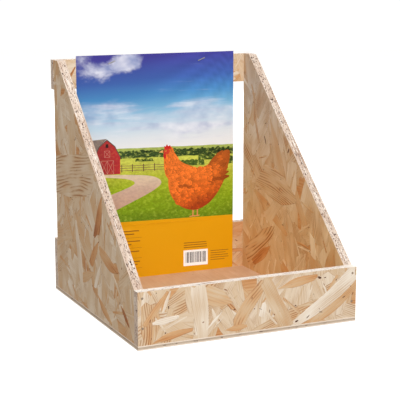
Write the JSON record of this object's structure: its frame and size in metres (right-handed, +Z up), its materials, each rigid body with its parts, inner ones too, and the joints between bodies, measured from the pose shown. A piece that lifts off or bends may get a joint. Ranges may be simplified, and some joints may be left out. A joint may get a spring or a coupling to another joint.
{
  "type": "nesting box",
  "caption": "Open-fronted wooden nesting box for hens: slant-sided OSB boards nailed on a plywood floor, with an open back and a printed farm card stapled inside.",
  "frame": {"origin": "middle of the footprint, on the surface the floor panel rests on", "axes": "+Z up, +Y from the open front towards the back, +X to the right as seen from the front"},
  "size_m": [0.3, 0.312, 0.326],
  "materials": {
    "osb": "raw oriented strand board, unfinished",
    "plywood": "raw thin plywood, sanded",
    "card": "printed picture under a soft gloss varnish",
    "nail_steel": "dull uncoated steel",
    "staple_steel": "galvanised wire"
  },
  "bodies": {
    "root": {"left_side_panel": "osb", "right_side_panel": "osb", "front_board": "osb", "upper_back_rail": "osb", "lower_back_board": "osb", "floor_panel": "plywood", "printed_card": "card", "card_staple_left": "staple_steel", "card_staple_right": "staple_steel", "front_nail_left_upper": "nail_steel", "front_nail_left_lower": "nail_steel", "front_nail_right_upper": "nail_steel", "front_nail_right_lower": "nail_steel", "rail_nail_left_upper": "nail_steel", "rail_nail_left_lower": "nail_steel", "rail_nail_right_upper": "nail_steel", "rail_nail_right_lower": "nail_steel", "lower_back_nail_left_upper": "nail_steel", "lower_back_nail_left_lower": "nail_steel", "lower_back_nail_right_upper": "nail_steel", "lower_back_nail_right_lower": "nail_steel", "floor_nail_left_1": "nail_steel", "floor_nail_left_2": "nail_steel", "floor_nail_left_3": "nail_steel", "floor_nail_right_1": "nail_steel", "floor_nail_right_2": "nail_steel", "floor_nail_right_3": "nail_steel", "floor_nail_front_1": "nail_steel", "floor_nail_front_2": "nail_steel", "floor_nail_back_1": "nail_steel", "floor_nail_back_2": "nail_steel"}
  },
  "joints": []
}
